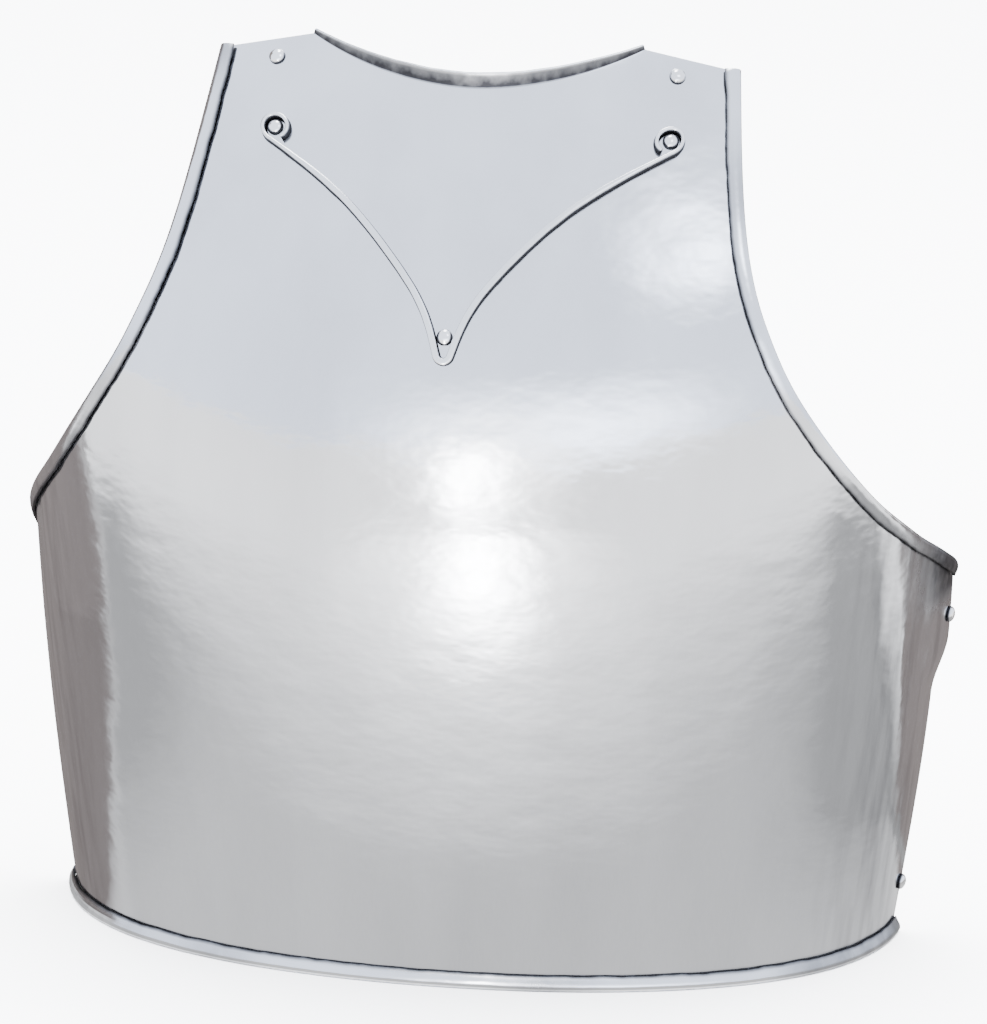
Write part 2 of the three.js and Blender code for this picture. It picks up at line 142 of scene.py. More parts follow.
# Small dents in a head: how deep in millimetres, and in how many waves to the metre.
RIVET_DENT = 0.09
RIVET_DENTS = 420
SEED_STRIDE = 3.1
WELD = 0.002
# Painted shade round each rivet's rim, fading up the dome between these heights.
RIVET_RIM_SHADE = 1.6
RIVET_RIM_SHADE_HEIGHTS = (0.2, 1.5)
INNER_END_DARKENING = 0.3

# Each rivet: its distance from the centre line or its turn round the section, then its height.
RIVETS_ON_FRONT = {
    "rib_rivet": (0, 294.1),
    "scroll_rivet_left": (83.5, 363.9),
    "scroll_rivet_right": (-79.8, 362.3),
    "shoulder_rivet_left": (83.2, 385.7),
    "shoulder_rivet_right": (-83.2, 385.7),
}
RIVETS_ON_FLANK = {
    "flank_rivet_upper": (0.965, 142.3),
    "flank_rivet_lower": (0.935, 23.3),
}
FLANK_DENT_SEEDS = 10


# ---- curves and the surface ----

def smooth_curve(xs, ys):
    """A natural cubic spline through the points."""
    last = len(xs) - 1
    bend = [0.0] * len(xs)
    carry = [0.0] * len(xs)
    for i in range(1, last):
        before = xs[i] - xs[i - 1]
        after = xs[i + 1] - xs[i]
        pivot = 2 * (before + after) - before * carry[i - 1]
        slope_change = (ys[i + 1] - ys[i]) / after - (ys[i] - ys[i - 1]) / before
        carry[i] = after / pivot
        bend[i] = (6 * slope_change - before * bend[i - 1]) / pivot
    for i in range(last - 1, 0, -1):
        bend[i] -= carry[i] * bend[i + 1]

    def value(x):
        i = 0
        while i < last - 1 and x > xs[i + 1]:
            i += 1
        span = xs[i + 1] - xs[i]
        b = (x - xs[i]) / span
        a = 1 - b
        cubic = (a ** 3 - a) * bend[i] + (b ** 3 - b) * bend[i + 1]
        return a * ys[i] + b * ys[i + 1] + cubic * span * span / 6

    return value


def column(table, value):
    """One of a table's columns as a smooth curve over its first column."""
    return smooth_curve([row[0] for row in table], [row[value] for row in table])


half_width_at = column(SECTIONS, 1)
front_at = column(SECTIONS, 2)
depth_at = column(SECTIONS, 3)
squareness_at = column(SECTIONS, 4)
rear_turn_at = column(REAR_EDGE, 1)
armhole_turn_at = column(ARMHOLE, 1)


def ease(value, low, high):
    """From 0 at the low end to 1 at the high end, level at both."""
    share = min(1, max(0, (value - low) / (high - low)))
    return share * share * (3 - 2 * share)


def flare_at(turn, z):
    """How far the rear of a flank is pulled sideways."""
    pull = ease(z, *FLARE_HEIGHTS) * ease(abs(turn), FLARE_FROM_TURN, 1)
    return (FLARE_LEFT if turn > 0 else -FLARE_RIGHT) * pull


def on_sheet(turn, z):
    """A point of the sheet's middle, in millimetres. turn is 0 at the front and 1 square to it."""
    angle = turn * math.pi / 2
    square = squareness_at(z)
    across = (math.sin(angle) + square * math.sin(3 * angle)) / (1 - square)
    back = front_at(z) + depth_at(z) * (1 - math.cos(angle))
    return Vector((half_width_at(z) * across + flare_at(turn, z), back, z))


def normal_at(turn, z):
    """Square to the sheet, out of its front."""
    nudge = 0.001
    sideways = on_sheet(turn + nudge, z) - on_sheet(turn - nudge, z)
    upwards = on_sheet(turn, z + nudge) - on_sheet(turn, z - nudge)
    return sideways.cross(upwards).normalized()


def turn_at_x(x, z):
    """How far round the section a distance from the centre line lies."""
    low, high = 0.0, 1.0
    for _ in range(HALVINGS):
        middle = (low + high) / 2
        if abs(on_sheet(math.copysign(middle, x), z).x) < abs(x):
            low = middle
        else:
            high = middle
    return math.copysign(low, x) if x else 0.0


# ---- the outline ----

UNDERARM_Z = ARMHOLE[0][0]
SHOULDER_Z = ARMHOLE[-1][0]


def armhole_point(z):
    return armhole_turn_at(z), z


def side_outline():
    """One side by rows: up the rear edge, round the underarm corner and up the armhole."""
    start_z = UNDERARM_Z - UNDERARM_ROUND
    start = (rear_turn_at(start_z), start_z)
    corner = (rear_turn_at(UNDERARM_Z), UNDERARM_Z)
    end = armhole_point(UNDERARM_Z + UNDERARM_ROUND)
    rows = []
    for j in range(REAR_ROWS + 1):
        z = WAIST_FOLD_Z + (start_z - WAIST_FOLD_Z) * j / REAR_ROWS
        rows.append((rear_turn_at(z), z))
    for j in range(1, CORNER_ROWS + 1):
        t = j / CORNER_ROWS
        weights = ((1 - t) ** 2, 2 * t * (1 - t), t * t)
        rows.append(tuple(sum(w * p[k] for w, p in zip(weights, (start, corner, end))) for k in (0, 1)))
    for j in range(1, ARMHOLE_ROWS + 1):
        rows.append(armhole_point(end[1] + (SHOULDER_Z - end[1]) * j / ARMHOLE_ROWS))
    return rows


OUTLINE = side_outline()
LAST_ROW = len(OUTLINE) - 1
HEM_START_ROW = REAR_ROWS + CORNER_ROWS // 2
NECK_SHARE = turn_at_x(NECK_HALF_WIDTH, NECK_CORNER_Z) / OUTLINE[-1][0]
SIDE_COLUMNS = NECK_COLUMNS + SHOULDER_COLUMNS


def column_share(i):
    """How far out a column lies, from 0 at the middle to 1 at the side."""
    if i <= NECK_COLUMNS:
        return NECK_SHARE * i / NECK_COLUMNS
    return NECK_SHARE + (1 - NECK_SHARE) * (i - NECK_COLUMNS) / SHOULDER_COLUMNS


def top_z(share):
    """The height of the neck and shoulder line."""
    if share <= NECK_SHARE:
        return NECK_MIDDLE_Z + (NECK_CORNER_Z - NECK_MIDDLE_Z) * (share / NECK_SHARE) ** NECK_POWER
    along = (share - NECK_SHARE) / (1 - NECK_SHARE)
    return NECK_CORNER_Z + (SHOULDER_Z - NECK_CORNER_Z) * along


def outline_rises():
    """How far up the side each row lies, as a share of the side's length."""
    lengths = [0.0]
    for a, b in zip(OUTLINE, OUTLINE[1:]):
        lengths.append(lengths[-1] + (on_sheet(*b) - on_sheet(*a)).length)
    return [length / lengths[-1] for length in lengths]


RISES = outline_rises()


def grid_place(i, j):
    """The turn and height of a place on the grid."""
    share = column_share(abs(i))
    rise = RISES[j]
    centre_z = WAIST_FOLD_Z + (NECK_MIDDLE_Z - WAIST_FOLD_Z) * rise
    dome = centre_z + (OUTLINE[j][1] - centre_z) * share ** 2
    dome_top = NECK_MIDDLE_Z + (SHOULDER_Z - NECK_MIDDLE_Z) * share ** 2
    z = dome + (top_z(share) - dome_top) * rise ** TOP_FIT_POWER
    return math.copysign(1, i) * share * OUTLINE[j][0], z


# ---- the plate ----

# The hems run uneven: how far in millimetres, and in how many waves to the metre.
HEM_RAG = 0.5
LIP_RAG = 0.2
HEM_SWAYS = 90
HEM_NIBBLES = 260
NIBBLE_SHARE = 0.5
RAG_LIFT = 0.3
RAG_POWER = 3

# Where the hems and the lip are darkened by painted shade, as shares of the way along their folds, and the
# hems' patches of tarnish.
HEM_SHADE_LINE = (0.8, 1)
HEM_TARNISH = 0.8
TARNISH_PATCHES = 15
TARNISH_BETWEEN = (-0.15, 0.45)
# The lip's painted shade, darkest by its crease and light at its free edge.
LIP_SHADE = 1.06
LIP_SHADE_LOSS = 0.26
LIP_CREASE = (0, 0.2)
LIP_UNSHADED_EDGE = (0.86, 0.98)

# Where the sheet is darkened by painted shade beside the hems and round the underarm corners, as columns
# from the side or rows from the waist.
ARMHOLE_LINE = (1, 3.4)
WAIST_LINE = (1, 3.2)
# Painted shade round the underarm corners, deepest on the wearer's left.
UNDERARM_SHADE_COLUMNS = (1, 24)
UNDERARM_SHADE_TURNS = (0.66, 0.93)
UNDERARM_SHADE_HEIGHTS = (143, 158)
UNDERARM_SHADE_LEFT = 1
UNDERARM_SHADE_RIGHT = 0.6

FLANK_TURNS = (0.5, 0.78)
CUT_EDGE = 0.18
CUT_EDGE_DEGREES = 50


def fine_profile(table, steps):
    """The fold's middle line in even steps, each with its place and its direction of travel."""
    points = [(0.0, 0.0)] + table
    lengths = [0.0]
    for a, b in zip(points, points[1:]):
        lengths.append(lengths[-1] + math.hypot(b[0] - a[0], b[1] - a[1]))
    inward = smooth_curve(lengths, [p[0] for p in points])
    outward = smooth_curve(lengths, [p[1] for p in points])
    return [(inward(lengths[-1] * k / steps), outward(lengths[-1] * k / steps), k / steps)
            for k in range(1, steps + 1)]


def extruded(bm, row, pairs):
    """Extrudes the edges between the pairs of a row's vertices and gives the new row."""
    edges = [bm.edges.get(pair) for pair in pairs]
    made = bmesh.ops.extrude_edge_only(bm, edges=edges)["geom"]
    fresh = {v for v in made if isinstance(v, bmesh.types.BMVert)}
    return [next(e.other_vert(v) for e in v.link_edges if e.other_vert(v) in fresh) for v in row]


def hem_shade(share):
    """A hem is dark along its free edge: painted shade where it meets the gap over the sheet."""
    return ease(share, *HEM_SHADE_LINE)


def lip_shade(share):
    """Painted shade: the lip is dark from its crease almost to its free edge."""
    foot_to_edge = LIP_SHADE - LIP_SHADE_LOSS * share
    return foot_to_edge * ease(share, *LIP_CREASE) * (1 - ease(share, *LIP_UNSHADED_EDGE))


def turn_edge(bm, verts, frames, profile, rag=HEM_RAG, widths=None, shade=hem_shade, underarm_shade=None):
    """Extrudes an edge of the sheet step by step along a fold's profile, and darkens it by its painted
    shade, the underarms' painted shade and patches of tarnish.
    """
    widths = widths or [1] * len(verts)
    underarm_shade = underarm_shade or [0] * len(verts)
    shade_and_tarnish = bm.verts.layers.float["shade_and_tarnish"]
    bases = [v.co.copy() for v in verts]
    row = list(verts)
    for inward, outward, share in profile:
        row = extruded(bm, row, zip(row, row[1:]))
        for vert, base, (inwards, outwards), width, dark in zip(row, bases, frames, widths, underarm_shade):
            wander = noise.noise(base * HEM_SWAYS) + NIBBLE_SHARE * noise.noise(base * HEM_NIBBLES)
            spare = rag * wander * share ** RAG_POWER
            step = inwards * (inward + spare) + outwards * (outward - RAG_LIFT * spare)
            vert.co = base + step * width * MM
            tarnish = HEM_TARNISH * ease(noise.noise(base * TARNISH_PATCHES), *TARNISH_BETWEEN)
            vert[shade_and_tarnish] = max(shade(share), tarnish, dark)


def edge_frames(verts, inner, outwards):
    """At each vertex of an edge, the directions into the sheet and out of its front."""
    frames = []
    for n, vert in enumerate(verts):
        along = verts[min(n + 1, len(verts) - 1)].co - verts[max(n - 1, 0)].co
        inwards = outwards[n].cross(along).normalized()
        if inwards.dot(inner[n].co - vert.co) < 0:
            inwards.negate()
        frames.append((inwards, outwards[n]))
    return frames


def underarm_shade_at(turn, z):
    """Painted shade round an underarm corner, black on the wearer's left and fainter on the other side."""
    depth = UNDERARM_SHADE_LEFT if turn > 0 else UNDERARM_SHADE_RIGHT
    return depth * ease(abs(turn), *UNDERARM_SHADE_TURNS) * ease(z, *UNDERARM_SHADE_HEIGHTS)


def sheet_shade(i, j, turn, z):
    """Painted shade beside the hems, and round the underarm corners."""
    from_edge = SIDE_COLUMNS - abs(i)
    beside_armhole = 1 - ease(from_edge, *ARMHOLE_LINE) if j >= HEM_START_ROW else 0
    beside_waist = 1 - ease(j, *WAIST_LINE)
    shaded_underarm = underarm_shade_at(turn, z) * (1 - ease(from_edge, *UNDERARM_SHADE_COLUMNS))
    return max(beside_armhole, beside_waist, shaded_underarm)


def sheet_grid(bm):
    """The sheet's middle as a grid: its vertices and their normals, both by column and row."""
    # This attribute carries painted shade by the creases, feet and rims, and the hems' tarnish.
    shade_and_tarnish = bm.verts.layers.float.new("shade_and_tarnish")
    flank = bm.verts.layers.float.new("flank")
    bmesh.ops.create_grid(bm, x_segments=2 * SIDE_COLUMNS, y_segments=LAST_ROW, size=1.0)
    at = {}
    for vert in bm.verts:
        i = round(vert.co.x * SIDE_COLUMNS)
        j = round((vert.co.y + 1) / 2 * LAST_ROW)
        at[i, j] = vert
    normals = {}
    for (i, j), vert in at.items():
        turn, z = grid_place(i, j)
        vert.co = on_sheet(turn, z) * MM
        normals[i, j] = normal_at(turn, z)
        vert[shade_and_tarnish] = sheet_shade(i, j, turn, z)
        vert[flank] = ease(abs(turn), *FLANK_TURNS)
    return at, normals


def turn_armholes(bm, at, normals):
    """Folds both armhole edges outwards, over the front."""
    hem = fine_profile(ARMHOLE_HEM, HEM_STEPS)
    rows = range(HEM_START_ROW, LAST_ROW + 1)
    for edge, next_column in ((-SIDE_COLUMNS, 1 - SIDE_COLUMNS), (SIDE_COLUMNS, SIDE_COLUMNS - 1)):
        verts = [at[edge, j] for j in rows]
        inner = [at[next_column, j] for j in rows]
        frames = edge_frames(verts, inner, [normals[edge, j] for j in rows])
        underarm_shade = [underarm_shade_at(*grid_place(edge, j)) for j in rows]
        turn_edge(bm, verts, frames, hem, underarm_shade=underarm_shade)


def turn_waist(bm, at, normals):
    """Folds the waist edge outwards and up."""
    columns = range(-SIDE_COLUMNS, SIDE_COLUMNS + 1)
    verts = [at[i, 0] for i in columns]
    upwards = Vector((0, 0, 1))
    frames = [(upwards, Vector((normals[i, 0].x, normals[i, 0].y, 0)).normalized()) for i in columns]
    turn_edge(bm, verts, frames, fine_profile(WAIST_HEM, HEM_STEPS))


def flare_neck(bm, at, normals):
    """Bends the neck edge forwards into a lip that narrows towards the shoulders."""
    columns = range(-NECK_COLUMNS, NECK_COLUMNS + 1)
    verts = [at[i, LAST_ROW] for i in columns]
    below = [at[i, LAST_ROW - 1] for i in columns]
    frames = edge_frames(verts, below, [normals[i, LAST_ROW] for i in columns])
    widths = [1 - LIP_NARROWING * abs(i / NECK_COLUMNS) ** LIP_NARROWING_POWER for i in columns]
    turn_edge(bm, verts, frames, fine_profile(NECK_LIP, LIP_STEPS), LIP_RAG, widths, lip_shade)


def make_plate():
    """The sheet's middle with its turned edges, thickened, and with its cut edges eased."""
    bm = bmesh.new()
    at, normals = sheet_grid(bm)
    turn_armholes(bm, at, normals)
    turn_waist(bm, at, normals)
    flare_neck(bm, at, normals)
    bmesh.ops.recalc_face_normals(bm, faces=bm.faces)
    foremost = min(bm.faces, key=lambda f: f.calc_center_median().y)
    if foremost.normal.y > 0:
        bmesh.ops.reverse_faces(bm, faces=bm.faces)
    plate = finish_mesh(bm, "breastplate_sheet")
    wall = plate.modifiers.new("sheet thickness", "SOLIDIFY")
    wall.thickness = SHEET * MM
    wall.offset = 0
    wall.use_even_offset = True
    cut = plate.modifiers.new("cut edges", "BEVEL")
    cut.width = CUT_EDGE * MM
    cut.segments = 2
    cut.limit_method = "ANGLE"
    cut.angle_limit = math.radians(CUT_EDGE_DEGREES)
    return plate


def finish_mesh(bm, name, sideways=CENTRING):
    """A smooth piece, with the part's middle brought over the origin."""
    bmesh.ops.translate(bm, verts=bm.verts, vec=(sideways * MM, 0, 0))
    mesh = bpy.data.meshes.new(name)
    for face in bm.faces:
        face.smooth = True
    bm.to_mesh(mesh)
    bm.free()
    piece = bpy.data.objects.new(name, mesh)
    SCENE.collection.objects.link(piece)
    return piece


# ---- the rib ----

def ring_point(hub, radius, degrees):
    """radius is along the sheet, so the sheet's lean shortens a ring's height."""
    angle = math.radians(degrees)
    return hub[0] + radius * math.cos(angle), hub[1] + radius * SCROLL["lean"] * math.sin(angle)


def mirrored(point):
    return -point[0], point[1]


def rib_half(hub):
    """Half of the rib's middle line on the wearer's left, from the crotch to the scroll's end."""
    line = []
    for k in range(CROTCH_STATIONS + 1):
        angle = math.radians(-90 + (90 + CROTCH["leave"]) * k / CROTCH_STATIONS)
        line.append((CROTCH["radius"] * math.cos(angle), CROTCH["z"] + CROTCH["radius"] * math.sin(angle)))
    arm = [line[-1]] + RIB_ARM + [ring_point(hub, SCROLL["entry_radius"], SCROLL["entry"])]
    lengths = [0.0]
    for a, b in zip(arm, arm[1:]):
        lengths.append(lengths[-1] + math.hypot(b[0] - a[0], b[1] - a[1]))
    arm_x = smooth_curve(lengths, [p[0] for p in arm])
    arm_z = smooth_curve(lengths, [p[1] for p in arm])
    for k in range(1, RIB_STATIONS + 1):
        line.append((arm_x(lengths[-1] * k / RIB_STATIONS), arm_z(lengths[-1] * k / RIB_STATIONS)))
    for k in range(1, SCROLL_STATIONS + 1):
        share = k / SCROLL_STATIONS
        unsettled = max(0, 1 - share / SCROLL["settles"]) ** 2
        radius = SCROLL["radius"] + (SCROLL["entry_radius"] - SCROLL["radius"]) * unsettled
        line.append(ring_point(hub, radius, SCROLL["entry"] + (SCROLL["end"] - SCROLL["entry"]) * share))
    return line


def rib_section(width):
    """Across and up from the sheet's middle: a strip of painted shade along each foot, and two rounded top
    edges.
    """
    foot = SHEET / 2 + GAP
    foot_shade_top = foot + RIB_FOOT_SHADE
    round_z = SHEET / 2 + RIB_HEIGHT - RIB_EDGE_ROUND
    half = width / 2
    points = [(-half - RIB_FOOT_SHADE, foot), (half + RIB_FOOT_SHADE, foot), (half, foot_shade_top)]
    for centre, first in ((half - RIB_EDGE_ROUND, 0), (-half + RIB_EDGE_ROUND, 90)):
        for k in range(RIB_ROUND_STEPS + 1):
            angle = math.radians(first + 90 * k / RIB_ROUND_STEPS)
            across = centre + RIB_EDGE_ROUND * math.cos(angle)
            points.append((across, round_z + RIB_EDGE_ROUND * math.sin(angle)))
    points.append((-half, foot_shade_top))
    return points


def rib_line():
    """The rib's middle line from the wearer's right scroll to the left one, and how thin it is there."""
    half = rib_half(SCROLL_LEFT)
    other_half = [mirrored(point) for point in rib_half(mirrored(SCROLL_RIGHT))]
    middle = len(half) - 1
    arm_share = (len(half) - SCROLL_STATIONS) / len(half)
    line = []
    for n, (x, z) in enumerate(other_half[:0:-1] + half):
        thinness = ease(abs(n - middle) / middle, arm_share - RIB_THINNING, arm_share)
        line.append((turn_at_x(x, z), z, thinness))
    return line


def make_rib():
    """The strip's section swept along its line, with its walls square to the sheet."""
    line = rib_line()
    places = [on_sheet(turn, z) for turn, z, thinness in line]
    bm = bmesh.new()
    shade_and_tarnish = bm.verts.layers.float.new("shade_and_tarnish")
    bm.verts.layers.float.new("flank")
    ring = None
    for n, (turn, z, thinness) in enumerate(line):
        normal = normal_at(turn, z)
        along = places[min(n + 1, len(places) - 1)] - places[max(n - 1, 0)]
        across = normal.cross(along).normalized()
        sway = RIB_SWAY * noise.noise(places[n] * RIB_SWAYS)
        section = rib_section(RIB_WIDTH + (RIB_SCROLL_WIDTH - RIB_WIDTH) * thinness)
        corners = [(places[n] + across * (aside + sway) + normal * up) * MM for aside, up in section]
        if ring:
            ring = extruded(bm, ring, zip(ring, ring[1:] + ring[:1]))
        else:
            ring = [bm.verts.new(corner) for corner in corners]
            bm.faces.new(ring)
        for corner_number, (vert, corner) in enumerate(zip(ring, corners)):
            vert.co = corner
            vert[shade_and_tarnish] = RIB_SHADE.get(corner_number, 0)
    bm.faces.new(ring)
    bmesh.ops.recalc_face_normals(bm, faces=bm.faces)
    return finish_mesh(bm, "stop_rib_strip")


# ---- the rivets ----

def rivet_profile():
    """Radius and height, from the peened end behind the sheet, through it and up over the dome."""
    inner_end = -RIVET_SEAT - RIVET_INNER_HEIGHT
    corner_in, corner_up = RIVET_INNER_CORNER
    profile = [
        (0, inner_end),
        (RIVET_INNER_RADIUS - RIVET_INNER_ROUND, inner_end),
        (RIVET_INNER_RADIUS - corner_in, inner_end + corner_up),
        (RIVET_INNER_RADIUS, -RIVET_SEAT),
        (RIVET_SHANK_RADIUS, -RIVET_SEAT),
        (RIVET_SHANK_RADIUS, RIVET_SEAT),
        (RIVET_HEAD_RADIUS - RIVET_RIM, RIVET_SEAT),
    ]
    for k in range(DOME_STEPS):
        angle = k * math.pi / 2 / DOME_STEPS
        rise = (RIVET_HEAD_HEIGHT - RIVET_RIM) * math.sin(angle) ** DOME_FULLNESS
        profile.append((RIVET_HEAD_RADIUS * math.cos(angle), RIVET_SEAT + RIVET_RIM + rise))
    profile.append((0, RIVET_SEAT + RIVET_HEAD_HEIGHT))
    return profile


def rivet_shade(height):
    """Painted shade round the rim and none on top. The end behind the sheet is a little darker."""
    if height <= 0:
        return INNER_END_DARKENING
    low, high = RIVET_RIM_SHADE_HEIGHTS
    return RIVET_RIM_SHADE * (1 - ease(height, RIVET_SEAT + low, RIVET_SEAT + high))


def make_rivet(name, turn, z, seed):
    """A domed head on the front, a shank through the sheet and a peened end behind."""
    bm = bmesh.new()
    shade_and_tarnish = bm.verts.layers.float.new("shade_and_tarnish")
    bm.verts.layers.float.new("flank")
    verts = [bm.verts.new((radius * MM, 0, height * MM)) for radius, height in rivet_profile()]
    edges = [bm.edges.new(pair) for pair in zip(verts, verts[1:])]
    bmesh.ops.spin(bm, geom=verts + edges, cent=(0, 0, 0), axis=(0, 0, 1), dvec=(0, 0, 0),
                   angle=2 * math.pi, steps=RIVET_SIDES, use_merge=True)
    bmesh.ops.remove_doubles(bm, verts=bm.verts, dist=WELD * MM)
    seed_shift = Vector((seed * SEED_STRIDE, 0, 0))
    for vert in bm.verts:
        vert[shade_and_tarnish] = rivet_shade(vert.co.z / MM)
        dent = noise.noise(vert.co * RIVET_DENTS + seed_shift)
        vert.co += vert.co.normalized() * dent * RIVET_DENT * MM
    axis = normal_at(turn, z)
    place = Matrix.Translation(on_sheet(turn, z) * MM) @ axis.to_track_quat("Z", "Y").to_matrix().to_4x4()
    bmesh.ops.transform(bm, matrix=place, verts=bm.verts)
    bmesh.ops.recalc_face_normals(bm, faces=bm.faces)
    return finish_mesh(bm, name + "_dome")


# ---- finishes ----

# The patterns in the steel: waves per metre along each axis, and how fine each pattern goes.
PATTERNS = {
    "clouds": ((9, 9, 7), 5),
    "streaks": ((26, 26, 3), 4),
    "lines": ((150, 150, 5), 3),
    "specks": ((210, 210, 150), 4),
    "grain": ((1100, 1100, 45), 3),
    "dents": ((11, 11, 8), 1),
    "planishing": ((30, 30, 52), 3),
    "ripples": ((42, 42, 11), 2),
}
DULL_GREY = (0.3, 0.3, 0.32, 1)
# The dark colour that painted shade and tarnish mix toward.
SHADE_AND_TARNISH_DARK = (0.035, 0.035, 0.04, 1)
CLOUDS_SHARE = 0.5
BRIGHT_BELOW = 0.4
DULL_GAIN = 0.9
LINES_ABOVE = 0.42
LINES_GAIN = 1.8
GRAIN_SHARE = 0.08
EVEN_DARKENING = 0.8
SPECKED_DARKENING = 0.4
LEAST_SMEAR = 0.5
DARKENED_ROUGHNESS = 0.3


def node_tree(name):
    """A new material, its nodes and its shader."""
    material = bpy.data.materials.new(name)
    material.use_nodes = True
    tree = material.node_tree
    return material, tree, tree.nodes["Principled BSDF"]


def new_group(name, inputs, outputs):
    """A node group with its named sockets. Each is given as its name and its kind."""
    group = bpy.data.node_groups.new(name, "ShaderNodeTree")
    for direction, sockets in (("INPUT", inputs), ("OUTPUT", outputs)):
        for socket, kind in sockets:
            group.interface.new_socket(name=socket, in_out=direction, socket_type="NodeSocket" + kind)
    return group, group.nodes.new("NodeGroupInput").outputs, group.nodes.new("NodeGroupOutput").inputs


def noise_node(tree, place, scale, detail):
    """Noise over the object's own space. scale is cycles per metre along each axis."""
    stretched = tree.nodes.new("ShaderNodeMapping")
    stretched.inputs["Scale"].default_value = scale
    tree.links.new(place, stretched.inputs["Vector"])
    pattern = tree.nodes.new("ShaderNodeTexNoise")
    pattern.inputs["Scale"].default_value = 1
    pattern.inputs["Detail"].default_value = detail
    tree.links.new(stretched.outputs["Vector"], pattern.inputs["Vector"])
    return pattern.outputs["Fac"]


def math_node(tree, operation, a, b, clamp=False):
    node = tree.nodes.new("ShaderNodeMath")
    node.operation = operation
    node.use_clamp = clamp
    for socket, value in zip(node.inputs, (a, b)):
        if isinstance(value, (int, float)):
            socket.default_value = value
        else:
            tree.links.new(value, socket)
    return node.outputs["Value"]


def mix_colours(tree, share, first, second):
    node = tree.nodes.new("ShaderNodeMix")
    node.data_type = "RGBA"
    for name, value in (("Factor_Float", share), ("A_Color", first), ("B_Color", second)):
        socket = next(s for s in node.inputs if s.identifier == name)
        if isinstance(value, tuple):
            socket.default_value = value
        else:
            tree.links.new(value, socket)
    return next(s for s in node.outputs if s.identifier == "Result_Color")


def bump_node(tree, height, depth, normal=None):
    node = tree.nodes.new("ShaderNodeBump")
    node.inputs["Strength"].default_value = 1
    tree.links.new(height, node.inputs["Height"])
    tree.links.new(depth, node.inputs["Distance"])
    if normal:
        tree.links.new(normal, node.inputs["Normal"])
    return node.outputs["Normal"]


def steel_group():
    """Polished steel: clouded colour, painted shade in the creases and patches of tarnish, brush marks,
    dents and flank ripples.
    """
    inputs = [("Place", "Vector"), ("Colour", "Color"), ("Grime Colour", "Color"), ("Shade_And_Tarnish", "Float"),
              ("Flank", "Float"), ("Roughness", "Float"), ("Dents", "Float"), ("Planishing", "Float"),
              ("Ripples", "Float"), ("Brush Marks", "Float")]
    outputs = [("Colour", "Color"), ("Roughness", "Float"), ("Normal", "Vector")]
    group, given, made = new_group("polished steel", inputs, outputs)

    def pattern(name):
        return noise_node(group, given["Place"], *PATTERNS[name])

    def maths(operation, a, b, clamp=False):
        return math_node(group, operation, a, b, clamp)

    specks = pattern("specks")
    grain = pattern("grain")

    clouded = maths("MULTIPLY", pattern("clouds"), CLOUDS_SHARE)
    streaked = maths("MULTIPLY", pattern("streaks"), 1 - CLOUDS_SHARE)
    bands = maths("ADD", clouded, streaked)
    dull = maths("MULTIPLY", maths("SUBTRACT", bands, BRIGHT_BELOW), DULL_GAIN, clamp=True)
    lines = maths("MULTIPLY", maths("SUBTRACT", pattern("lines"), LINES_ABOVE), LINES_GAIN, clamp=True)
    dull = maths("ADD", dull, maths("MULTIPLY", lines, given["Flank"]))
    dull = maths("ADD", dull, maths("MULTIPLY", grain, GRAIN_SHARE), clamp=True)
    clean = mix_colours(group, dull, given["Colour"], DULL_GREY)

    # Painted shade and tarnish, broken up by specks, darken the colour and roughen the steel.
    patchy = maths("ADD", EVEN_DARKENING, maths("MULTIPLY", specks, SPECKED_DARKENING))
    darkening = maths("MULTIPLY", given["Shade_And_Tarnish"], patchy, clamp=True)
    group.links.new(mix_colours(group, darkening, clean, given["Grime Colour"]), made["Colour"])

    smears = maths("MULTIPLY", given["Roughness"], maths("ADD", specks, LEAST_SMEAR))
    rough = maths("ADD", smears, maths("MULTIPLY", darkening, DARKENED_ROUGHNESS), clamp=True)
    group.links.new(rough, made["Roughness"])

    normal = bump_node(group, pattern("dents"), given["Dents"])
    normal = bump_node(group, pattern("planishing"), given["Planishing"], normal)
    ripple_depth = maths("MULTIPLY", given["Ripples"], given["Flank"])
    normal = bump_node(group, pattern("ripples"), ripple_depth, normal)
    normal = bump_node(group, grain, given["Brush Marks"], normal)
    group.links.new(normal, made["Normal"])
    return group


STEEL = steel_group()


def steel(name, colour, roughness, depths):
    """depths are the millimetres of relief, by the names of the group's inputs."""
    material, tree, shader = node_tree(name)
    surface = tree.nodes.new("ShaderNodeGroup")
    surface.node_tree = STEEL
    surface.inputs["Colour"].default_value = (*colour, 1)
    surface.inputs["Grime Colour"].default_value = SHADE_AND_TARNISH_DARK
    surface.inputs["Roughness"].default_value = roughness
    for relief, depth in depths.items():
        surface.inputs[relief].default_value = depth * MM
    tree.links.new(tree.nodes.new("ShaderNodeTexCoord").outputs["Object"], surface.inputs["Place"])
    for socket in ("Shade_And_Tarnish", "Flank"):
        reader = tree.nodes.new("ShaderNodeAttribute")
        reader.attribute_name = socket.lower()
        tree.links.new(reader.outputs["Fac"], surface.inputs[socket])
    shader.inputs["Metallic"].default_value = 1
    tree.links.new(surface.outputs["Colour"], shader.inputs["Base Color"])
    tree.links.new(surface.outputs["Roughness"], shader.inputs["Roughness"])
    tree.links.new(surface.outputs["Normal"], shader.inputs["Normal"])
    return material


PLATE_RELIEF = {"Dents": 1.8, "Planishing": 0.7, "Ripples": 1.3, "Brush Marks": 0.003}
RIB_RELIEF = {"Dents": 0.1, "Planishing": 0.03, "Brush Marks": 0.004}
RIVET_RELIEF = {"Planishing": 0.02, "Brush Marks": 0.002}
plate_steel = steel("plate_steel", (0.74, 0.755, 0.79), 0.13, PLATE_RELIEF)
rib_steel = steel("rib_steel", (0.84, 0.845, 0.86), 0.2, RIB_RELIEF)
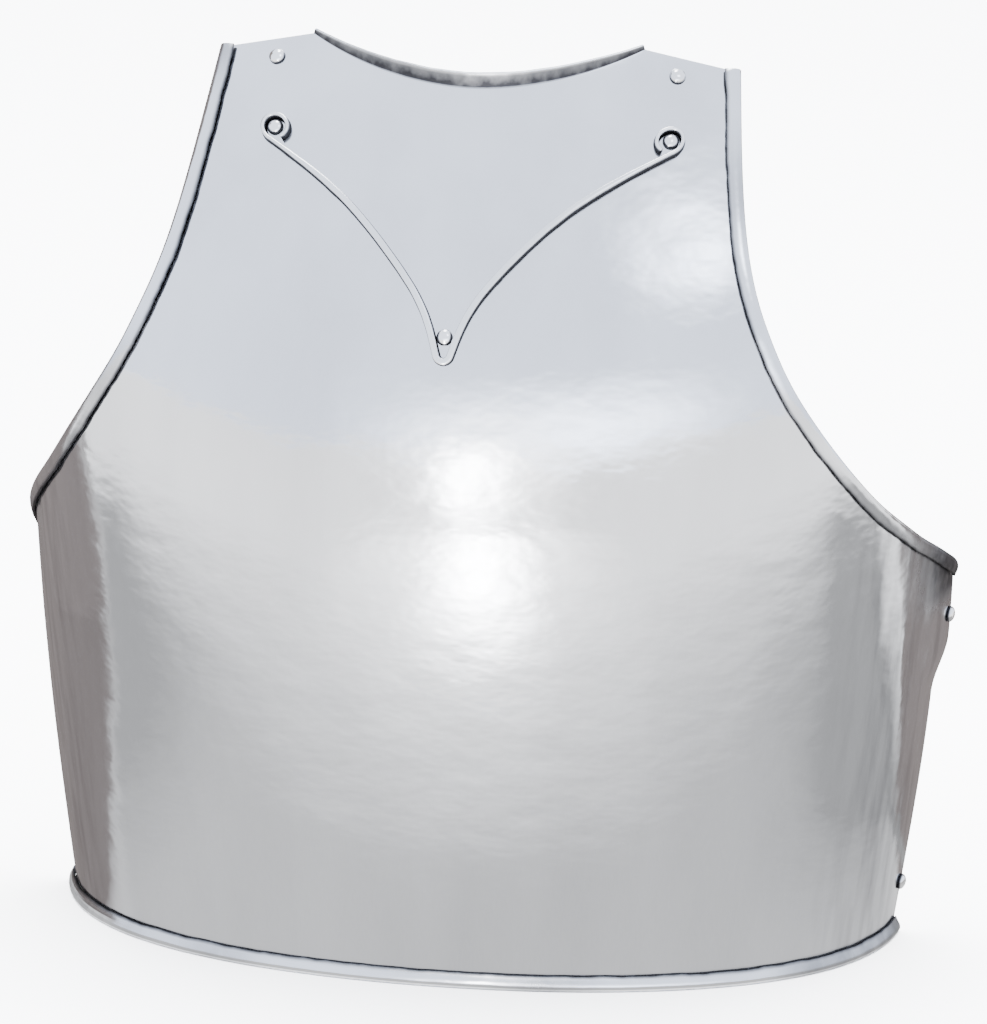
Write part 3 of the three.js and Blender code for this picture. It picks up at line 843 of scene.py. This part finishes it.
# The rivets' steel is lighter than the plate's: a painted highlight on their heads.
rivet_steel = steel("rivet_steel", (0.92, 0.92, 0.93), 0.12, RIVET_RELIEF)

# ---- the assembly ----

def dress(piece, node, material):
    """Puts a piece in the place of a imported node, in its finish."""
    piece.data.materials.append(material)
    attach(piece, "root")
    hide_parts(node)


dress(make_plate(), "breastplate", plate_steel)
dress(make_rib(), "stop_rib", rib_steel)
for seed, (name, (x, z)) in enumerate(RIVETS_ON_FRONT.items()):
    dress(make_rivet(name, turn_at_x(x, z), z, seed), name, rivet_steel)
for seed, (name, (turn, z)) in enumerate(RIVETS_ON_FLANK.items(), FLANK_DENT_SEEDS):
    dress(make_rivet(name, turn, z, seed), name, rivet_steel)

# ---- floor, light and camera, in metres ----

FLOOR_SIZE = 30
FLOOR_COLOUR = (0.93, 0.93, 0.93, 1)
FLOOR_ROUGHNESS = 0.9
FLOOR_SHINE = 0.1
SKY_COLOUR = (0.84, 0.91, 1.05, 1)
SKY_STRENGTH = 2.6
LAMP_PLACE = (0, 0.1, 2.8)
LAMP_TARGET = (0, 0.1, 0)
LAMP_SIZE = 4
LAMP_POWER = 1300

NEUTRAL = (1, 1, 1)
WARM_GREY = (1, 0.88, 0.85)
PALE_BLUE = (0.88, 0.95, 1.08)
CARD_FALL = 1.5

# Each card over the floor: its place, what it faces, its width and height, its colour and strength,
# and the share of each half that fades.
STANDING_CARDS = {
    "left edge": ((-0.421, 0.7, 0.3), (0, 0.7, 0.3), (1.4, 0.9), NEUTRAL, 1.5, (0.02, 0.1)),
    "left flag": ((-0.42, 0.708, 0.3), (0, 0.708, 0.3), (1.4, 0.9), WARM_GREY, 0.39, (0.02, 0.1)),
    "right flag": ((0.42, 1.05, 0.3), (0, 1.05, 0.3), (1.4, 0.9), WARM_GREY, 0.42, (0.04, 0.1)),
    "front glow": ((0.35, -1.6, 0.35), (0, 0, 0.2), (2.2, 1.2), PALE_BLUE, 7, (0.95, 0.95)),
    "front halo": ((0, -0.6, 0.16), (0, 0, 0.16), (0.36, 0.56), NEUTRAL, 8, (1, 1)),
    "front light": ((-0.02, -0.53, 0.15), (0, 0, 0.15), (0.14, 0.28), NEUTRAL, 22, (0.9, 0.7)),
    "high glow": ((0.62, -0.8, 1.55), (0, 0, 0.25), (0.8, 0.9), PALE_BLUE, 9, (0.95, 0.95)),
    "zenith light": ((-0.12, 0.35, 2.4), (0, 0.1, 0.3), (1.0, 0.8), NEUTRAL, 16, (0.6, 0.6)),
    "back top light": ((-0.1, 0.8, 1.8), (0, 0, 0.3), (0.9, 0.6), NEUTRAL, 12, (0.5, 0.5)),
}

# Each card laid on the floor, with the later over the earlier: its middle, its width and depth,
# its colour and strength, the share of each half that fades, and its turn in degrees.
FLOOR_CARDS = {
    "floor mirrored": ((0, 0), (9, 9), NEUTRAL, 2.5, (0.05, 0.05), 0),
    "near shade": ((0, -0.02), (1.4, 0.66), NEUTRAL, 1.12, (0.5, 0.75), 0),
    "left shade": ((-0.4, 0), (0.5, 0.36), NEUTRAL, 0.7, (0.5, 0.6), 0),
    "right shade": ((0.4, 0.06), (0.5, 0.42), NEUTRAL, 0.62, (0.5, 0.6), 0),
    "right floor flag": ((0.32, 0.98), (1.3, 1.4), WARM_GREY, 0.38, (0.04, 0.02), 30),
    "left floor edge": ((-0.6, 0.7), (0.96, 1.4), NEUTRAL, 1.5, (0.02, 0.02), 0),
    "left floor flag": ((-0.6, 0.706), (0.98, 1.4), WARM_GREY, 0.34, (0.02, 0.02), 0),
    "right stripe": ((0.45, 0.13), (0.6, 0.03), NEUTRAL, 0.5, (0.05, 0.7), 0),
    "floor halo": ((0, -0.44), (0.42, 0.72), NEUTRAL, 8, (1, 1), 0),
    "floor light": ((0, -0.42), (0.17, 0.46), NEUTRAL, 24, (0.9, 0.6), 0),
}
FLOOR_CARD_STEP = 0.0007

# The camera: its turn round the part, its angle down and its tilt in degrees, its lens and its sensor
# in millimetres, and its distance. It looks past its aim by these millimetres to its right and up.
VIEW = {"yaw": 8.08, "pitch": 18.31, "roll": 0.7, "lens": 328.267, "sensor": 36, "distance": 3.7815}
VIEW_AIM = Vector((CENTRING * MM, 0.038, 0.2))
VIEW_ASIDE = 6.46
VIEW_UP = -12.22
CLIP_NEAR = 0.05
CLIP_FAR = 100


def make_floor():
    bm = bmesh.new()
    bmesh.ops.create_grid(bm, x_segments=2, y_segments=2, size=FLOOR_SIZE)
    floor = finish_mesh(bm, "floor")
    material, _, shader = node_tree("pale_floor")
    shader.inputs["Roughness"].default_value = FLOOR_ROUGHNESS
    shader.inputs["Specular IOR Level"].default_value = FLOOR_SHINE
    shader.inputs["Base Color"].default_value = FLOOR_COLOUR
    floor.data.materials.append(material)


def aim(piece, target):
    piece.rotation_euler = (Vector(target) - piece.location).to_track_quat("-Z", "Y").to_euler()


def make_lamp():
    """A broad lamp for the floor and its shadows, which the steel doesn't mirror."""
    lamp = bpy.data.lights.new("overhead box", "AREA")
    lamp.size = LAMP_SIZE
    lamp.energy = LAMP_POWER
    piece = bpy.data.objects.new("overhead box", lamp)
    piece.location = LAMP_PLACE
    piece.visible_glossy = False
    SCENE.collection.objects.link(piece)
    aim(piece, LAMP_TARGET)


def card_group():
    """How solid a card is at a place on it: 1 in the middle, fading over its soft margins."""
    inputs = [("Place", "Vector"), ("Softness", "Vector")]
    group, given, made = new_group("card margin", inputs, [("Share", "Float")])
    place = group.nodes.new("ShaderNodeSeparateXYZ")
    group.links.new(given["Place"], place.inputs[0])
    softness = group.nodes.new("ShaderNodeSeparateXYZ")
    group.links.new(given["Softness"], softness.inputs[0])
    shares = []
    for axis in ("X", "Y"):
        inside = math_node(group, "SUBTRACT", 1, math_node(group, "ABSOLUTE", place.outputs[axis], 0))
        shares.append(math_node(group, "DIVIDE", inside, softness.outputs[axis], clamp=True))
    both = math_node(group, "MULTIPLY", *shares)
    group.links.new(math_node(group, "POWER", both, CARD_FALL), made["Share"])
    return group


CARD = card_group()


def card_material(name, colour, strength, softness):
    """A glow that fades to nothing over the card's margins."""
    material, tree, shader = node_tree(name)
    tree.nodes.remove(shader)
    glow = tree.nodes.new("ShaderNodeEmission")
    glow.inputs["Color"].default_value = (*colour, 1)
    glow.inputs["Strength"].default_value = strength
    margin = tree.nodes.new("ShaderNodeGroup")
    margin.node_tree = CARD
    margin.inputs["Softness"].default_value = (*softness, 0)
    tree.links.new(tree.nodes.new("ShaderNodeTexCoord").outputs["Object"], margin.inputs["Place"])
    blend = tree.nodes.new("ShaderNodeMixShader")
    tree.links.new(margin.outputs["Share"], blend.inputs[0])
    tree.links.new(tree.nodes.new("ShaderNodeBsdfTransparent").outputs[0], blend.inputs[1])
    tree.links.new(glow.outputs[0], blend.inputs[2])
    tree.links.new(blend.outputs[0], tree.nodes["Material Output"].inputs["Surface"])
    return material


def card(name, place, target, size, colour, strength, softness, spin=0):
    """A studio card that only the steel mirrors."""
    bm = bmesh.new()
    bmesh.ops.create_grid(bm, x_segments=1, y_segments=1, size=1)
    piece = finish_mesh(bm, name, 0)
    piece.location = place
    aim(piece, target)
    piece.rotation_euler.z += math.radians(spin)
    piece.scale = (size[0] / 2, size[1] / 2, 1)
    piece.visible_camera = False
    piece.visible_diffuse = False
    piece.visible_shadow = False
    piece.visible_transmission = False
    piece.data.materials.append(card_material(name, colour, strength, softness))


def make_cards():
    for name, values in STANDING_CARDS.items():
        card(name, *values)
    for layer, (name, ((x, y), *values)) in enumerate(FLOOR_CARDS.items(), 1):
        card(name, (x, y, layer * FLOOR_CARD_STEP), (x, y, 1), *values)


def make_world():
    world = bpy.data.worlds.new("studio")
    SCENE.world = world
    world.use_nodes = True
    sky = world.node_tree.nodes["Background"]
    sky.inputs["Color"].default_value = SKY_COLOUR
    sky.inputs["Strength"].default_value = SKY_STRENGTH


def make_camera():
    yaw, pitch, roll = (math.radians(VIEW[angle]) for angle in ("yaw", "pitch", "roll"))
    right = Vector((math.cos(yaw), math.sin(yaw), 0))
    back = Vector((math.sin(yaw) * math.cos(pitch), -math.cos(yaw) * math.cos(pitch), math.sin(pitch)))
    up = back.cross(right)
    rolled_right = right * math.cos(roll) + up * math.sin(roll)
    rolled_up = up * math.cos(roll) - right * math.sin(roll)
    camera = bpy.data.objects.new("camera", bpy.data.cameras.new("camera"))
    camera.data.sensor_fit = "HORIZONTAL"
    camera.data.sensor_width = VIEW["sensor"]
    camera.data.lens = VIEW["lens"]
    camera.data.clip_start = CLIP_NEAR
    camera.data.clip_end = CLIP_FAR
    target = VIEW_AIM + (rolled_right * VIEW_ASIDE + rolled_up * VIEW_UP) * MM
    turn = Matrix((rolled_right, rolled_up, back)).transposed().to_4x4()
    camera.matrix_world = Matrix.Translation(target + back * VIEW["distance"]) @ turn
    SCENE.collection.objects.link(camera)
    SCENE.camera = camera


make_floor()
make_world()
make_lamp()
make_cards()
make_camera()
